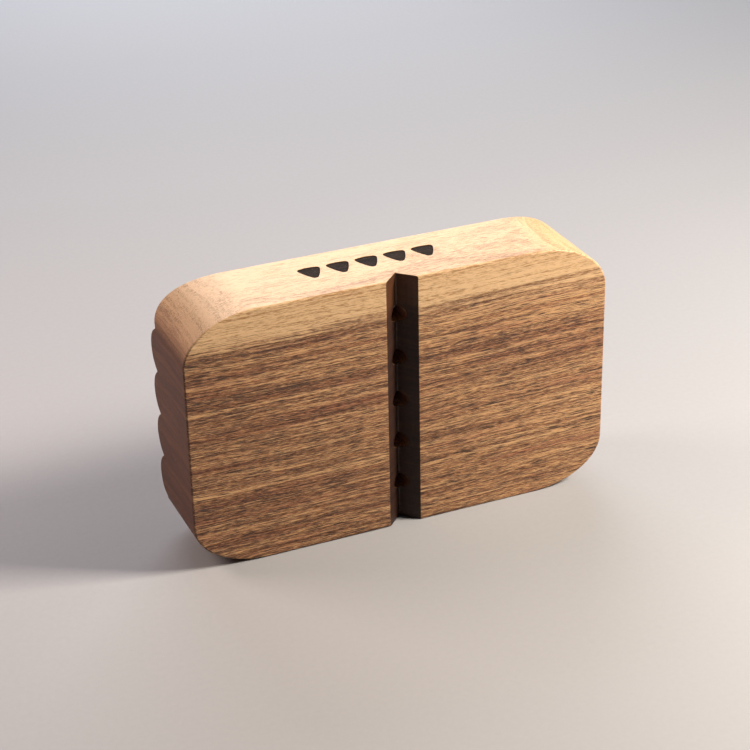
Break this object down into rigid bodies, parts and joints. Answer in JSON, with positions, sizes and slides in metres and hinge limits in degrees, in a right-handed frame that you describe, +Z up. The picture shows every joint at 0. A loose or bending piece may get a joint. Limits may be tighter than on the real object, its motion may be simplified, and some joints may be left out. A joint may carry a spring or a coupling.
{
  "type": "plectrum holder",
  "caption": "Walnut block that holds guitar plectrums upright in slots between the lobes of its back, with a V-groove and small holes down its flat front.",
  "frame": {"origin": "centre of the box's base, on the surface the block stands on", "axes": "+X along the block's length, +Y from the flat front with the V-groove to the lobed back, +Z up"},
  "size_m": [0.11, 0.025, 0.067],
  "materials": {
    "oiled_walnut": "sanded and oiled",
    "charred_walnut": "burned, matt"
  },
  "bodies": {
    "root": {"walnut_block": "oiled_walnut", "burned_mark": "charred_walnut"}
  },
  "joints": []
}
